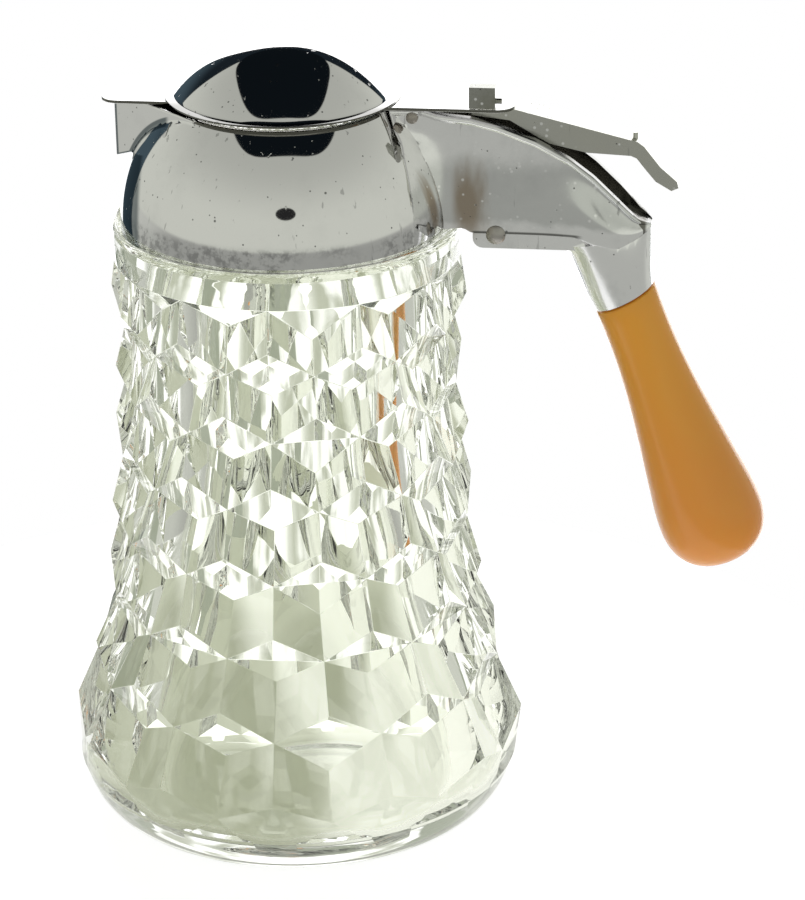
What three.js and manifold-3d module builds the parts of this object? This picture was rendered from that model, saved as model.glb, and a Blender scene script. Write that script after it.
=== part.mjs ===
// Syrup dispenser: pressed glass jar with a stacked-cube relief, domed metal cap with a prow spout,
// sliding lid worked by a thumb lever, and a moulded grip carried by a sheet-metal housing.
// Millimetres, +Z up. The jar's axis is Z, its underside is Z = 0, the handle points along +X.
import * as THREE from "three";
import { mergeVertices } from "three/addons/utils/BufferGeometryUtils.js";
import Module from "manifold-3d";

const wasm = await Module();
wasm.setup();

// Jar
const COLUMNS = 12; // cubes around the jar
const PATTERN_TURN = 1.8; // degrees from the handle to the first column
const ROW_Z = [95.5, 84.0, 72.9, 61.4, 49.0, 36.1, 23.5, 10.2]; // rings where six edges meet
const ROW_R = [28.3, 26.8, 27.1, 28.0, 28.9, 30.2, 33.8, 36.6];
const NOSE_RISE = 4.7; // outer corner of each cube, above its ring
const NOSE_OUT = 1.5;
const PIT_DROP = 4.05; // inner corner of each cube, below its ring
const PIT_IN = 2.6;
const SEAM_EVERY = 4; // columns between mould seams
const SEAM_COLUMN = 3; // half column that has the first seam
const SEAM_DROP = 2.0; // the inner corner sits lower on a seam
const LAST_NOSE = { r: 38.0, z: 14.0 };
const BASE_CURVE = [[37.2, 7.0], [35.9, 3.4], [34.4, 1.1], [32.9, 0]];
const BAND_R = 27.9;
const BAND_CURVE = [[28.05, 97.0], [28.05, 99.0], [27.9, 100.5], [27.55, 101.2], [27.15, 101.2], [27.0, 99.7]];
const NECK_R = 24.6;
const NECK_TOP = 106.0;
const BORE = [[21.9, 106.0], [22.2, 100.0], [22.6, 94.0], [22.6, 62.0], [24.4, 48.0], [26.2, 36.0],
  [29.2, 24.0], [31.3, 16.0], [32.7, 9.0], [32.3, 6.1], [30.2, 4.8], [24.0, 4.3]];
const FLOOR_Z = 4.2;
const ROUND = 48; // sides of the jar's plain rings

// Cap
const CAP_R = 26.5;
const CAP_CENTRE_Z = 101.2;
const CAP_WALL = 0.7;
const CAP_BOTTOM = 100.0;
const CAP_TOP = 121.0;
const SPOUT_TIP_X = -27.3;
const SPOUT_SLOPE = 0.9; // sideways run of a spout wall per millimetre towards the jar
const SPOUT_KEEL_Z = 110.4;
const SPOUT_KEEL_RISE = 0.5;
const SPOUT_ROOT_X = -12;
const CAP_SIDES = 60;

// Lid and slide
const LID_R = 21.5; // radius of the dome's sphere
const LID_TOP = 130.8;
const LID_SPREAD = 53.8; // degrees from the top to the dome's foot
const LID_BRIM = { r: 18.75, z: 122.0 };
const LID_THICK = 0.3;
const PLATE_Z = 121.2;
const PLATE_THICK = 0.5; // its top carries the dome's brim
const PLATE_HALF = 6.6;
const PLATE_ENDS = [-28.4, 36.9];
const PLATE_CORNER = 3.0;
const TAB = { x: 32.0, y: -5.6, long: 4.1, deep: 2.0, tall: 3.4 };
const PEG = { r: 0.45, long: 1.0, z: 122.9 };

// Thumb lever, side view
const LEVER_HALF = 2.9;
const LEVER_SIDE = [[30.0, 121.05], [36.6, 120.75], [56.0, 115.9], [57.0, 115.2], [59.6, 111.9], [62.3, 109.5],
  [62.5, 108.5], [61.4, 108.0], [58.9, 109.5], [57.4, 111.3], [55.9, 113.2], [55.0, 113.6], [48.0, 113.95],
  [42.0, 115.3], [36.0, 118.9], [30.0, 119.6]];
const NUB = { x: 55.6, z: 116.0, r: 0.4, tall: 0.9 };

// Housing, side view
const RIM = [[14, 120.9], [22.6, 120.9], [24.6, 120.2], [26.6, 119.9], [30.0, 119.6], [34.1, 118.6],
  [40.2, 116.3], [45.5, 113.4], [49.3, 110.5], [53.2, 106.7], [56.4, 103.3], [58.4, 102.1]];
const SKIRT = [[14, 101.5], [28.9, 101.5], [30.2, 100.7], [46.4, 100.7], [49.5, 99.7],
  [53.3, 99.2], [55.4, 100.1], [58.4, 101.5]];
const SIDE_HALF = 4.6;
const BELLY = { x: 52.0, reach: 6.5, out: 1.5 };
const NOSE_CENTRE_X = 52.4;
const NOSE_REACH = 6.2;
const BEAD = { out: 0.35, tall: 1.1 };
const CHANNEL = { half: 3.4, depth: 3.2 };
const FLARE = { x: 22.6, reach: 6.5, low: 12.8, high: 4.7, lowZ: 101, highZ: 117.5 };
const STATIONS = 32;

// Lower bracket with ferrule; sections run up from the open end
const FERRULE = [
  { a: [49.5, 87.1], b: [58.9, 92.0], half: 5.3 },
  { a: [48.2, 89.6], b: [58.7, 94.0], half: 5.5 },
  { a: [46.7, 93.4], b: [58.6, 97.0], half: 5.75 },
  { a: [45.2, 96.6], b: [58.5, 99.4], half: 5.75 },
  { a: [43.8, 98.2], b: [58.4, 101.4], half: 5.6 },
];
const ARM = { x0: 30.3, x1: 48.0, z0: 98.1, z1: 101.6, half: 4.1, round: 1.6 };

// Grip: distance along the axis and radius
const GRIP_TOP = [54.25, 89.45];
const GRIP_LEAN = 21.2; // degrees from vertical
const GRIP = [[3.0, 5.12], [8.0, 5.15], [13.0, 5.4], [18.0, 5.85], [23.0, 6.45], [28.0, 7.15], [33.0, 7.85],
  [37.0, 8.4], [40.0, 8.6], [42.3, 8.5], [44.6, 7.9], [46.5, 6.7], [47.8, 5.0], [48.6, 2.7]];
const GRIP_END = 48.9;
const GRIP_TOP_R = 5.2;

// Fasteners
const RIVET = { x: 34.0, z: 100.5, r: 1.55, shank: 1.0, face: 4.66 };
const PIN = { x: 20.9, z: 119.6, r: 0.95, shank: 0.6, face: 5.1 };

const FIT = 0.15; // clearance between parts that touch

const MATERIALS = {
  glass: new THREE.MeshStandardMaterial({ color: 0xdfe8dc, roughness: 0.05, transparent: true, opacity: 0.45 }),
  chrome: new THREE.MeshStandardMaterial({ color: 0xc4c6c2, metalness: 1, roughness: 0.12 }),
  satin: new THREE.MeshStandardMaterial({ color: 0xa9aaa6, metalness: 1, roughness: 0.35 }),
  grip: new THREE.MeshStandardMaterial({ color: 0xc07a30, roughness: 0.25 }),
};

const rad = (degrees) => (degrees * Math.PI) / 180;

// Collects corners and triangles of one closed skin.
class Skin {
  constructor() {
    this.points = [];
    this.faces = [];
  }
  point(x, y, z) {
    this.points.push(x, y, z);
    return this.points.length / 3 - 1;
  }
  polar(r, turn, z) {
    return this.point(r * Math.cos(turn), r * Math.sin(turn), z);
  }
  tri(a, b, c) {
    if (a !== b && b !== c && a !== c) this.faces.push(a, b, c);
  }
  quad(a, b, c, d) {
    this.tri(a, b, c);
    this.tri(a, c, d);
  }
  // Joins two rings of equal count; the first is lower when seen from outside.
  band(low, high) {
    for (let i = 0; i < low.length; i++) {
      const j = (i + 1) % low.length;
      this.quad(low[i], low[j], high[j], high[i]);
    }
  }
  fan(centre, ring) {
    for (let i = 0; i < ring.length; i++) this.tri(centre, ring[i], ring[(i + 1) % ring.length]);
  }
  geometry() {
    const geometry = new THREE.BufferGeometry();
    geometry.setAttribute("position", new THREE.Float32BufferAttribute(this.points, 3));
    geometry.setIndex(this.faces);
    return geometry;
  }
}

function toSolid(geometry) {
  const bare = new THREE.BufferGeometry();
  bare.setAttribute("position", geometry.getAttribute("position").clone());
  if (geometry.index) bare.setIndex(geometry.index.clone());
  const merged = mergeVertices(bare, 1e-4);
  return new wasm.Manifold(new wasm.Mesh({
    numProp: 3,
    vertProperties: new Float32Array(merged.getAttribute("position").array),
    triVerts: new Uint32Array(merged.index.array),
  }));
}

function toGeometry(solid) {
  const mesh = solid.getMesh();
  const geometry = new THREE.BufferGeometry();
  geometry.setAttribute("position", new THREE.Float32BufferAttribute(Array.from(mesh.vertProperties), 3));
  geometry.setIndex(Array.from(mesh.triVerts));
  return geometry;
}

// A flat outline in X and Z, given thickness across Y.
function sidePlate(outline, yLow, yHigh) {
  const shape = new THREE.Shape(outline.map(([x, z]) => new THREE.Vector2(x, z)));
  const geometry = new THREE.ExtrudeGeometry(shape, { depth: yHigh - yLow, bevelEnabled: false });
  geometry.rotateX(Math.PI / 2);
  geometry.translate(0, yHigh, 0);
  return geometry;
}

// A solid turned about Z from a closed radius and height outline.
function turned(outline, sides) {
  const points = outline.map(([r, z]) => new THREE.Vector2(r, z));
  const geometry = new THREE.LatheGeometry(points, sides);
  geometry.rotateX(Math.PI / 2);
  return geometry;
}

// A round pin across Y with a low domed head at both ends.
function crossPin({ x, z, r, shank, face }) {
  const tall = r * 0.45;
  const half = face + tall;
  const outline = [[0, -half], [r * 0.6, -half + tall * 0.25], [r, -face - 0.06], [r, -face], [shank, -face]];
  const mirrored = outline.slice().reverse().map(([radius, along]) => [radius, -along]);
  const points = [...outline, ...mirrored].map(([radius, along]) => new THREE.Vector2(radius, along));
  const geometry = new THREE.LatheGeometry(points, 20);
  geometry.translate(x, 0, z);
  return geometry;
}

function along(table, x) {
  let i = 0;
  while (i < table.length - 2 && x > table[i + 1][0]) i++;
  const [x0, y0] = table[i];
  const [x1, y1] = table[i + 1];
  const t = Math.min(1, Math.max(0, (x - x0) / (x1 - x0)));
  return y0 + (y1 - y0) * t;
}

function smoothStep(t) {
  const s = Math.min(1, Math.max(0, t));
  return s * s * (3 - 2 * s);
}

// Jar

function jarGeometry() {
  const skin = new Skin();
  const half = 2 * COLUMNS;
  const turnOf = (j) => rad(PATTERN_TURN + (j * 360) / half);
  const step = ROUND / half;
  const wrap = (j) => ((j % half) + half) % half;
  const ringOf = (r, z) => Array.from({ length: ROUND }, (_, i) => skin.polar(r, turnOf(i / step), z));
  const radiusAt = (z) => {
    let k = 0;
    while (k < ROW_Z.length - 2 && z < ROW_Z[k + 1]) k++;
    return ROW_R[k] + ((ROW_R[k + 1] - ROW_R[k]) * (ROW_Z[k] - z)) / (ROW_Z[k] - ROW_Z[k + 1]);
  };
  const onSeam = (k, j) => k % 2 === 0 && wrap(j - SEAM_COLUMN) % (2 * SEAM_EVERY) === 0;

  const bandFoot = ringOf(BAND_R, ROW_Z[0]);
  const sixes = [];
  const pits = [];
  const noses = [];
  const last = ROW_Z.length - 1;
  for (let k = 0; k <= last; k++) {
    sixes.push([]);
    pits.push([]);
    noses.push([]);
    for (let j = 0; j < half; j++) {
      const isSix = (j + k) % 2 === 0;
      if (isSix) {
        sixes[k][j] = k === 0 ? bandFoot[j * step] : skin.polar(ROW_R[k], turnOf(j), ROW_Z[k]);
        continue;
      }
      if (k < last) {
        const pitZ = ROW_Z[k] - PIT_DROP - (onSeam(k, j) ? SEAM_DROP : 0);
        pits[k][j] = skin.polar(radiusAt(pitZ) - PIT_IN, turnOf(j), pitZ);
      }
      if (k > 0 && k < last) {
        const noseZ = ROW_Z[k] + NOSE_RISE;
        noses[k][j] = skin.polar(radiusAt(noseZ) + NOSE_OUT, turnOf(j), noseZ);
      }
      if (k === last) noses[k][j] = skin.polar(LAST_NOSE.r, turnOf(j), LAST_NOSE.z);
    }
  }

  for (let k = 0; k < last; k++) {
    for (let j = k % 2; j < half; j += 2) {
      const left = sixes[k][j];
      const right = sixes[k][wrap(j + 2)];
      const pit = pits[k][wrap(j + 1)];
      if (k === 0) {
        for (let i = 0; i < 2 * step; i++) {
          const a = bandFoot[(j * step + i) % ROUND];
          skin.tri(a, pit, bandFoot[(j * step + i + 1) % ROUND]);
        }
      } else {
        skin.tri(left, pit, right);
        skin.tri(left, right, noses[k][wrap(j + 1)]);
      }
      const nose = noses[k + 1][j];
      skin.quad(nose, sixes[k + 1][wrap(j + 1)], pit, left);
      skin.quad(sixes[k + 1][wrap(j - 1)], nose, left, pits[k][wrap(j - 1)]);
    }
  }

  // Under the last row the jar is round again.
  let lower = ringOf(...BASE_CURVE[0]);
  for (let j = 0; j < half; j++) {
    const a = (j + last) % 2 === 0 ? sixes[last][j] : noses[last][j];
    const n = wrap(j + 1);
    const b = (n + last) % 2 === 0 ? sixes[last][n] : noses[last][n];
    const i = j * step;
    skin.tri(lower[i], lower[i + 1], a);
    skin.tri(a, lower[i + 1], b);
    skin.tri(lower[i + 1], lower[(i + 2) % ROUND], b);
  }
  for (const [r, z] of BASE_CURVE.slice(1)) {
    const next = ringOf(r, z);
    skin.band(next, lower);
    lower = next;
  }
  skin.fan(skin.point(0, 0, 0), lower.slice().reverse());

  let upper = bandFoot;
  for (const [r, z] of [...BAND_CURVE, [NECK_R, BAND_CURVE.at(-1)[1]], [NECK_R, NECK_TOP], ...BORE]) {
    const next = ringOf(r, z);
    skin.band(upper, next);
    upper = next;
  }
  skin.fan(skin.point(0, 0, FLOOR_Z), upper);
  return skin.geometry();
}

// Cap

function capOutline(grow) {
  const r = CAP_R + grow;
  const low = CAP_BOTTOM - (grow > 0 ? 6 : grow < 0 ? 2 : 0);
  const high = CAP_TOP + (grow === 0 ? 0 : 2);
  const outline = [[0, low], [r, low]];
  const count = 12;
  for (let i = 0; i <= count; i++) {
    const z = CAP_CENTRE_Z + 0.6 + ((high - CAP_CENTRE_Z - 0.6) * i) / count;
    outline.push([Math.sqrt(r * r - (z - CAP_CENTRE_Z) ** 2), z]);
  }
  outline.push([0, high]);
  return outline;
}

function spoutPrism(inset) {
  const tip = SPOUT_TIP_X + inset * 1.5;
  const run = SPOUT_ROOT_X - tip;
  const side = run * SPOUT_SLOPE;
  const keel = SPOUT_KEEL_Z + inset;
  const root = keel + SPOUT_KEEL_RISE * run;
  const high = CAP_TOP + (inset > 0 ? 2 : 0);
  const skin = new Skin();
  const low = [skin.point(tip, 0, keel), skin.point(SPOUT_ROOT_X, -side, root), skin.point(SPOUT_ROOT_X, side, root)];
  const top = [skin.point(tip, 0, high), skin.point(SPOUT_ROOT_X, -side, high), skin.point(SPOUT_ROOT_X, side, high)];
  skin.band(low, top);
  skin.tri(low[0], low[2], low[1]);
  skin.tri(top[0], top[1], top[2]);
  return skin.geometry();
}

function capSolid() {
  const outside = toSolid(turned(capOutline(0), CAP_SIDES)).add(toSolid(spoutPrism(0)));
  const inside = toSolid(turned(capOutline(-CAP_WALL), CAP_SIDES)).add(toSolid(spoutPrism(CAP_WALL)));
  return outside.subtract(inside);
}

// Housing

function housingHalf(x, z, share, grow) {
  const belly = BELLY.out * Math.exp(-(((x - BELLY.x) / BELLY.reach) ** 2)) * smoothStep(share * 1.6);
  let half = SIDE_HALF + belly;
  const t = (x - FLARE.x) / FLARE.reach;
  if (t < 1) {
    const reach = FLARE.low + (FLARE.high - FLARE.low) * smoothStep((z - FLARE.lowZ) / (FLARE.highZ - FLARE.lowZ));
    const near = 1 - Math.max(0, t);
    half = Math.max(half, SIDE_HALF + (reach - SIDE_HALF) * (1 - Math.sqrt(1 - near * near)));
  }
  const ahead = Math.max(0, x - NOSE_CENTRE_X) / NOSE_REACH;
  return half * Math.sqrt(Math.max(0.01, 1 - ahead * ahead)) + grow;
}

function housingGeometry(grow) {
  const skin = new Skin();
  const shares = [1, 0.88, 0.74, 0.58, 0.42, 0.26, 0.12];
  const x0 = RIM[0][0];
  const x1 = RIM.at(-1)[0];
  const rings = [];
  for (let i = 0; i <= STATIONS; i++) {
    const x = x0 + (x1 - x0) * Math.sin((i / STATIONS) * Math.PI * 0.5);
    const high = along(RIM, x);
    const low = along(SKIRT, x) - grow;
    const tall = high - low;
    const bead = Math.min(BEAD.tall, tall * 0.25);
    const near = shares.map((share) => {
      const z = low + (tall - bead) * (1 - share);
      return [housingHalf(x, z, share, grow), z];
    });
    const neck = housingHalf(x, high - bead, 0, grow);
    const taper = Math.min(1, neck / SIDE_HALF);
    near.push([neck, high - bead], [neck + BEAD.out * taper, high - bead * 0.8]);
    near.push([neck + BEAD.out * taper, high - bead * 0.15], [neck + BEAD.out * 0.5 * taper, high]);
    const groove = grow > 0 ? 0.2 : Math.min(CHANNEL.half, neck * 0.72);
    const floor = high - Math.min(grow > 0 ? 0.1 : CHANNEL.depth, tall * 0.3);
    near.push([groove, high], [groove, floor]);
    const loop = near.map(([y, z]) => skin.point(x, -y, z));
    const far = near.slice().reverse().map(([y, z]) => skin.point(x, y, z));
    rings.push([...loop, ...far]);
  }
  for (let i = 0; i < STATIONS; i++) skin.band(rings[i + 1], rings[i]);
  const close = (ring, flip) => {
    const outline = ring.map((id) => new THREE.Vector2(skin.points[3 * id + 1], skin.points[3 * id + 2]));
    for (const [a, b, c] of THREE.ShapeUtils.triangulateShape(outline, [])) {
      const area = THREE.ShapeUtils.area([outline[a], outline[b], outline[c]]);
      if (area > 0 === flip) skin.tri(ring[a], ring[c], ring[b]);
      else skin.tri(ring[a], ring[b], ring[c]);
    }
  };
  close(rings[0], true);
  close(rings[STATIONS], false);
  return skin.geometry();
}

function ferruleGeometry() {
  const skin = new Skin();
  const sides = 28;
  const rings = FERRULE.map(({ a, b, half }) => {
    const centre = [(a[0] + b[0]) / 2, (a[1] + b[1]) / 2];
    const reach = [(b[0] - a[0]) / 2, (b[1] - a[1]) / 2];
    return Array.from({ length: sides }, (_, i) => {
      const turn = (i / sides) * 2 * Math.PI;
      const c = Math.cos(turn);
      return skin.point(centre[0] + reach[0] * c, half * Math.sin(turn), centre[1] + reach[1] * c);
    });
  });
  for (let i = 0; i + 1 < rings.length; i++) skin.band(rings[i], rings[i + 1]);
  const middle = ({ a, b }) => skin.point((a[0] + b[0]) / 2, 0, (a[1] + b[1]) / 2);
  skin.fan(middle(FERRULE[0]), rings[0].slice().reverse());
  skin.fan(middle(FERRULE.at(-1)), rings.at(-1));
  return skin.geometry();
}

function armGeometry() {
  const { x0, x1, z0, z1, half, round } = ARM;
  const outline = [[x1, z0], [x1, z1], [x0, z1], [x0, z0 + round]];
  for (let i = 1; i <= 5; i++) {
    const turn = rad(180 + (90 * i) / 5);
    outline.push([x0 + round + round * Math.cos(turn), z0 + round + round * Math.sin(turn)]);
  }
  return sidePlate(outline, -half, half);
}

function gripGeometry() {
  const skin = new Skin();
  const sides = 32;
  const lean = rad(GRIP_LEAN);
  const axis = [Math.sin(lean), -Math.cos(lean)];
  const cut = [FERRULE[0].b[0] - FERRULE[0].a[0], FERRULE[0].b[1] - FERRULE[0].a[1]];
  const cutLength = Math.hypot(...cut);
  const ringAt = (distance, r, across) => Array.from({ length: sides }, (_, i) => {
    const turn = (i / sides) * 2 * Math.PI;
    const c = r * Math.cos(turn);
    const x = GRIP_TOP[0] + axis[0] * distance + across[0] * c;
    return skin.point(x, r * Math.sin(turn), GRIP_TOP[1] + axis[1] * distance + across[1] * c);
  });
  const square = [Math.cos(lean), Math.sin(lean)];
  const rings = [ringAt(0.3, GRIP_TOP_R, [cut[0] / cutLength, cut[1] / cutLength])];
  for (const [distance, r] of GRIP) rings.push(ringAt(distance, r, square));
  for (let i = 0; i + 1 < rings.length; i++) skin.band(rings[i + 1], rings[i]);
  const centre = (distance) => skin.point(GRIP_TOP[0] + axis[0] * distance, 0, GRIP_TOP[1] + axis[1] * distance);
  skin.fan(centre(0.3), rings[0]);
  skin.fan(centre(GRIP_END), rings.at(-1).slice().reverse());
  return skin.geometry();
}

// Lid

function lidGeometry() {
  const over = [];
  const under = [];
  const count = 9;
  for (let i = 0; i <= count; i++) {
    const turn = rad((LID_SPREAD * i) / count);
    over.push([LID_R * Math.sin(turn), LID_TOP - LID_R * (1 - Math.cos(turn))]);
    const inner = LID_R - LID_THICK;
    under.push([inner * Math.sin(turn), LID_TOP - LID_THICK - inner * (1 - Math.cos(turn))]);
  }
  const rest = LID_BRIM.z - LID_THICK; // where the lid lies on its plate
  over.push([LID_BRIM.r, LID_BRIM.z]);
  under.at(-1)[1] = rest;
  under.push([LID_BRIM.r - 0.1, rest]);
  return turned([...under, ...over.reverse()], ROUND);
}

function plateGeometry() {
  const [x0, x1] = PLATE_ENDS;
  const w = PLATE_HALF;
  const c = PLATE_CORNER;
  const shape = new THREE.Shape();
  shape.moveTo(x0 + c, -w);
  shape.lineTo(x1 - c, -w);
  shape.absarc(x1 - c, -w + c, c, -Math.PI / 2, 0, false);
  shape.lineTo(x1, w - c);
  shape.absarc(x1 - c, w - c, c, 0, Math.PI / 2, false);
  shape.lineTo(x0 + c, w);
  shape.absarc(x0 + c, w - c, c, Math.PI / 2, Math.PI, false);
  shape.lineTo(x0, -w + c);
  shape.absarc(x0 + c, -w + c, c, Math.PI, Math.PI * 1.5, false);
  const geometry = new THREE.ExtrudeGeometry(shape, { depth: PLATE_THICK, bevelEnabled: false, curveSegments: 8 });
  geometry.translate(0, 0, PLATE_Z);
  return geometry;
}

function leverGeometry() {
  const lever = toSolid(sidePlate(LEVER_SIDE, -LEVER_HALF, LEVER_HALF));
  const nub = new THREE.CylinderGeometry(NUB.r, NUB.r, NUB.tall + 1, 12);
  nub.rotateX(Math.PI / 2);
  nub.translate(NUB.x, -1, NUB.z + NUB.tall / 2 - 0.5);
  return toGeometry(lever.add(toSolid(nub)));
}

function tabGeometry() {
  const block = new THREE.BoxGeometry(TAB.long, TAB.deep, TAB.tall);
  block.translate(TAB.x, TAB.y, PLATE_Z + PLATE_THICK + FIT + TAB.tall / 2);
  const peg = new THREE.CylinderGeometry(PEG.r, PEG.r, PEG.long + 1, 12);
  peg.rotateZ(Math.PI / 2);
  peg.translate(TAB.x + TAB.long / 2 + PEG.long / 2 - 0.5, TAB.y, PEG.z);
  return toGeometry(toSolid(block).add(toSolid(peg)));
}

function bore({ x, z }, r) {
  const geometry = new THREE.CylinderGeometry(r, r, 30, 20);
  geometry.translate(x, 0, z);
  return toSolid(geometry);
}

function part(name, geometry, material) {
  const loose = geometry.index ? geometry.toNonIndexed() : geometry;
  loose.computeVertexNormals();
  const mesh = new THREE.Mesh(loose, MATERIALS[material]);
  mesh.name = name;
  return mesh;
}

const capEnvelope = toSolid(turned(capOutline(FIT), CAP_SIDES));
const housing = toSolid(housingGeometry(0)).subtract(capEnvelope).subtract(bore(RIVET, RIVET.shank + 0.1))
  .subtract(bore(PIN, PIN.shank + 0.1));
const bracket = toSolid(ferruleGeometry()).add(toSolid(armGeometry())).subtract(toSolid(housingGeometry(FIT)))
  .subtract(bore(RIVET, RIVET.shank + 0.1));

const dispenser = new THREE.Group();
dispenser.name = "syrup_dispenser";

const fixed = new THREE.Group();
fixed.name = "fixed";
fixed.add(
  part("glass_jar", jarGeometry(), "glass"),
  part("cap", toGeometry(capSolid()), "chrome"),
  part("handle_housing", toGeometry(housing), "satin"),
  part("handle_bracket", toGeometry(bracket), "satin"),
  part("housing_rivet", crossPin(RIVET), "satin"),
  part("guide_pin", crossPin(PIN), "satin"),
  part("grip", gripGeometry(), "grip"),
);

const slide = new THREE.Group();
slide.name = "slide";
slide.add(
  part("lid_dome", lidGeometry(), "chrome"),
  part("slide_plate", plateGeometry(), "chrome"),
  part("thumb_lever", leverGeometry(), "satin"),
  part("plate_tab", tabGeometry(), "satin"),
);

dispenser.add(fixed, slide);

export default dispenser;
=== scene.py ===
import math

import bmesh
import bpy
from mathutils import Matrix, Vector


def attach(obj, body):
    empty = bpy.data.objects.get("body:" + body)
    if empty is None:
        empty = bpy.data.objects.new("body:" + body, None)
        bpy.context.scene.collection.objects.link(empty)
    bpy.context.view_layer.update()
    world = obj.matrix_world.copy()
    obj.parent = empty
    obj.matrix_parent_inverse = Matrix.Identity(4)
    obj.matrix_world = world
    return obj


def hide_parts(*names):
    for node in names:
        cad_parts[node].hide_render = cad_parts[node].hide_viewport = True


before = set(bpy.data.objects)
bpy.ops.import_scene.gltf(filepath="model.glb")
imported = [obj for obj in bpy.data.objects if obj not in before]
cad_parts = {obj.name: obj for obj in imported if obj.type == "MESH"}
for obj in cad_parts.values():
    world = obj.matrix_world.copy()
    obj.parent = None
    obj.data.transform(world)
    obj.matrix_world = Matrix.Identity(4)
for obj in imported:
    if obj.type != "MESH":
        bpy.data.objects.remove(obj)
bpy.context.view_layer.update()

MM = 0.001
FIXED = "jar_and_handle"
SLIDING = "lid_slide"

# Camera, solved from the photograph (metres, row frame)
CAMERA_AT = (0.07722, -0.49653, 0.2807)
CAMERA_RIGHT = (0.993483, 0.113551, -0.009905)
CAMERA_UP = (-0.036710, 0.401032, 0.915328)
CAMERA_FORWARD = (-0.107909, 0.908999, -0.402587)
LENS = 148.65
SENSOR = 36.0
CLIP_START = 0.01

# Level directions away from the camera and to its right, for the lights
AWAY = (-0.15368, 0.98812, 0.0)
ASIDE = (0.98812, 0.15368, 0.0)

# The frame's own directions
FORWARD, ACROSS, UP = (1.0, 0.0, 0.0), (0.0, 1.0, 0.0), (0.0, 0.0, 1.0)

BRIGHT = 2.2  # the backdrop is overexposed
SAGE = (0.56, 0.58, 0.48, 1)  # the grey-green that the glass shows
STAIN_AT = (0.0294, -0.010, 0.0528)  # on the housing's root, its depth doubled and its height halved

# Where wear, painted shade and painted reflection lie on the metal, in metres: each pair runs from where
# there is none to where it is full
SHEETS_FROM, SHEETS_TO = (0.12110, 0.12114), (0.12206, 0.12202)
BRIM_FROM, BRIM_TO, BRIM_FRONT = (0.12190, 0.12194), (0.12210, 0.12206), (-0.002, -0.010)
PLATE_EDGE = (0.0066, 0.0067)
JOINT_WIDE, JOINT_ON_DOME = (0.0011, 0.0007), (0.02715, 0.02695)
JOINT_FROM, JOINT_TO = (0.1100, 0.1108), (-0.0165, -0.0175)
KEEL_LINE, KEEL_TO = (0.00045, 0.00030), (-0.0205, -0.0215)
PROW_LINE, PROW_TOP = (-0.02665, -0.02680), (0.1212, 0.1210)
TARNISH_TOP, CLOUDED_TOP = (0.1052, 0.1040), (0.1056, 0.1036)
STAIN_REACH, STAIN_FROM = (0.0068, 0.0030), (0.0266, 0.0280)
DARK_TOP, DARK_LOW = (0.1142, 0.1102), (0.1020, 0.1034)
CHANNEL_WIDE, CHANNEL_TO, LIP_WIDE = (0.00350, 0.00344), (0.0578, 0.0573), (0.0052, 0.0046)
LOWER_EDGE_TOP, LOWER_EDGE_FROM, LOWER_EDGE_TO = (0.10120, 0.10095), (0.0300, 0.0306), (0.0480, 0.0465)

# Colours of wear, of painted shade and of painted reflection
OLIVE, DARK_BLUE, STAIN_BROWN = (0.085, 0.085, 0.06, 1), (0.09, 0.12, 0.135, 1), (0.30, 0.215, 0.125, 1)
CLOUDED, BRIM_SHADE, CLOUD_GREY = (0.50, 0.51, 0.51, 1), (0.20, 0.20, 0.19, 1), (0.55, 0.56, 0.56, 1)
DARK_GREY, LIP_GREY = (0.67, 0.68, 0.67, 1), (0.17, 0.17, 0.16, 1)
LOWER_EDGE_DARK, CHANNEL_SHADE = (0.10, 0.10, 0.09, 1), (0.14, 0.135, 0.115, 1)

# The room's panels: centre, half width, top and softness of each shape, then the colours
BACKDROP, GAP, HOLE = (0.30, 0.73, 0.84, 0.06), (0.06, 1.13, 1.12, 0.06), (0.0, 0.57, 0.83, 0.05)
BACKDROP_SLOPE, HOLE_AHEAD = 0.25, 0.25
PANEL_LOW, PANEL_HIGH = (0.62, 0.635, 0.575, 1), (0.45, 0.46, 0.42, 1)
GROUND_NEAR, GROUND_FAR, GROUND_END = (0.40, 0.405, 0.38, 1), (0.55, 0.56, 0.52, 1), (0.6, 0.61, 0.56, 1)
SLATE_LOW, SLATE_HIGH, BLACK = (0.055, 0.085, 0.105, 1), (0.010, 0.015, 0.020, 1), (0.004, 0.006, 0.008, 1)

# The same room as the glass shows it, softer so that the facets read
GLASS_GAP, GLASS_HOLE, GLASS_SIDE = (0.36, 0.39, 0.31, 1), (0.34, 0.37, 0.29, 1), (0.40, 0.43, 0.34, 1)
# FLOOR_LEFT and FLOOR_RIGHT are the painted shade of the floor's glow as the glass shows it
FLOOR_LEFT, FLOOR_RIGHT = (0.27, 0.285, 0.19, 1), (0.76, 0.77, 0.70, 1)
STRIP_EDGES = ((0.10, 0.24), (0.42, 0.56), (0.66, 0.84))  # to either side, from the middle outwards

# Colours of glass and resin
GLASS_DEEP, GLASS_PALE = (0.955, 0.970, 0.918, 1), (0.97, 0.98, 0.945, 1)
AMBER_TOP, AMBER_END, AMBER_SWIRL = (0.98, 0.42, 0.048, 1), (0.94, 0.35, 0.06, 1), (0.95, 0.45, 0.07, 1)
RESIN_SPOT = (0.2, 0.07, 0.02, 1)

# The opening in the front panels: its place to the side, upward direction and half sizes
OPENING_ASIDE, OPENING_UP = -0.0105, (-0.0488, 0.3385, 0.9397)
OPENING_WIDE, OPENING_TALL = 0.118, 0.075


# Mesh helpers

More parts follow.
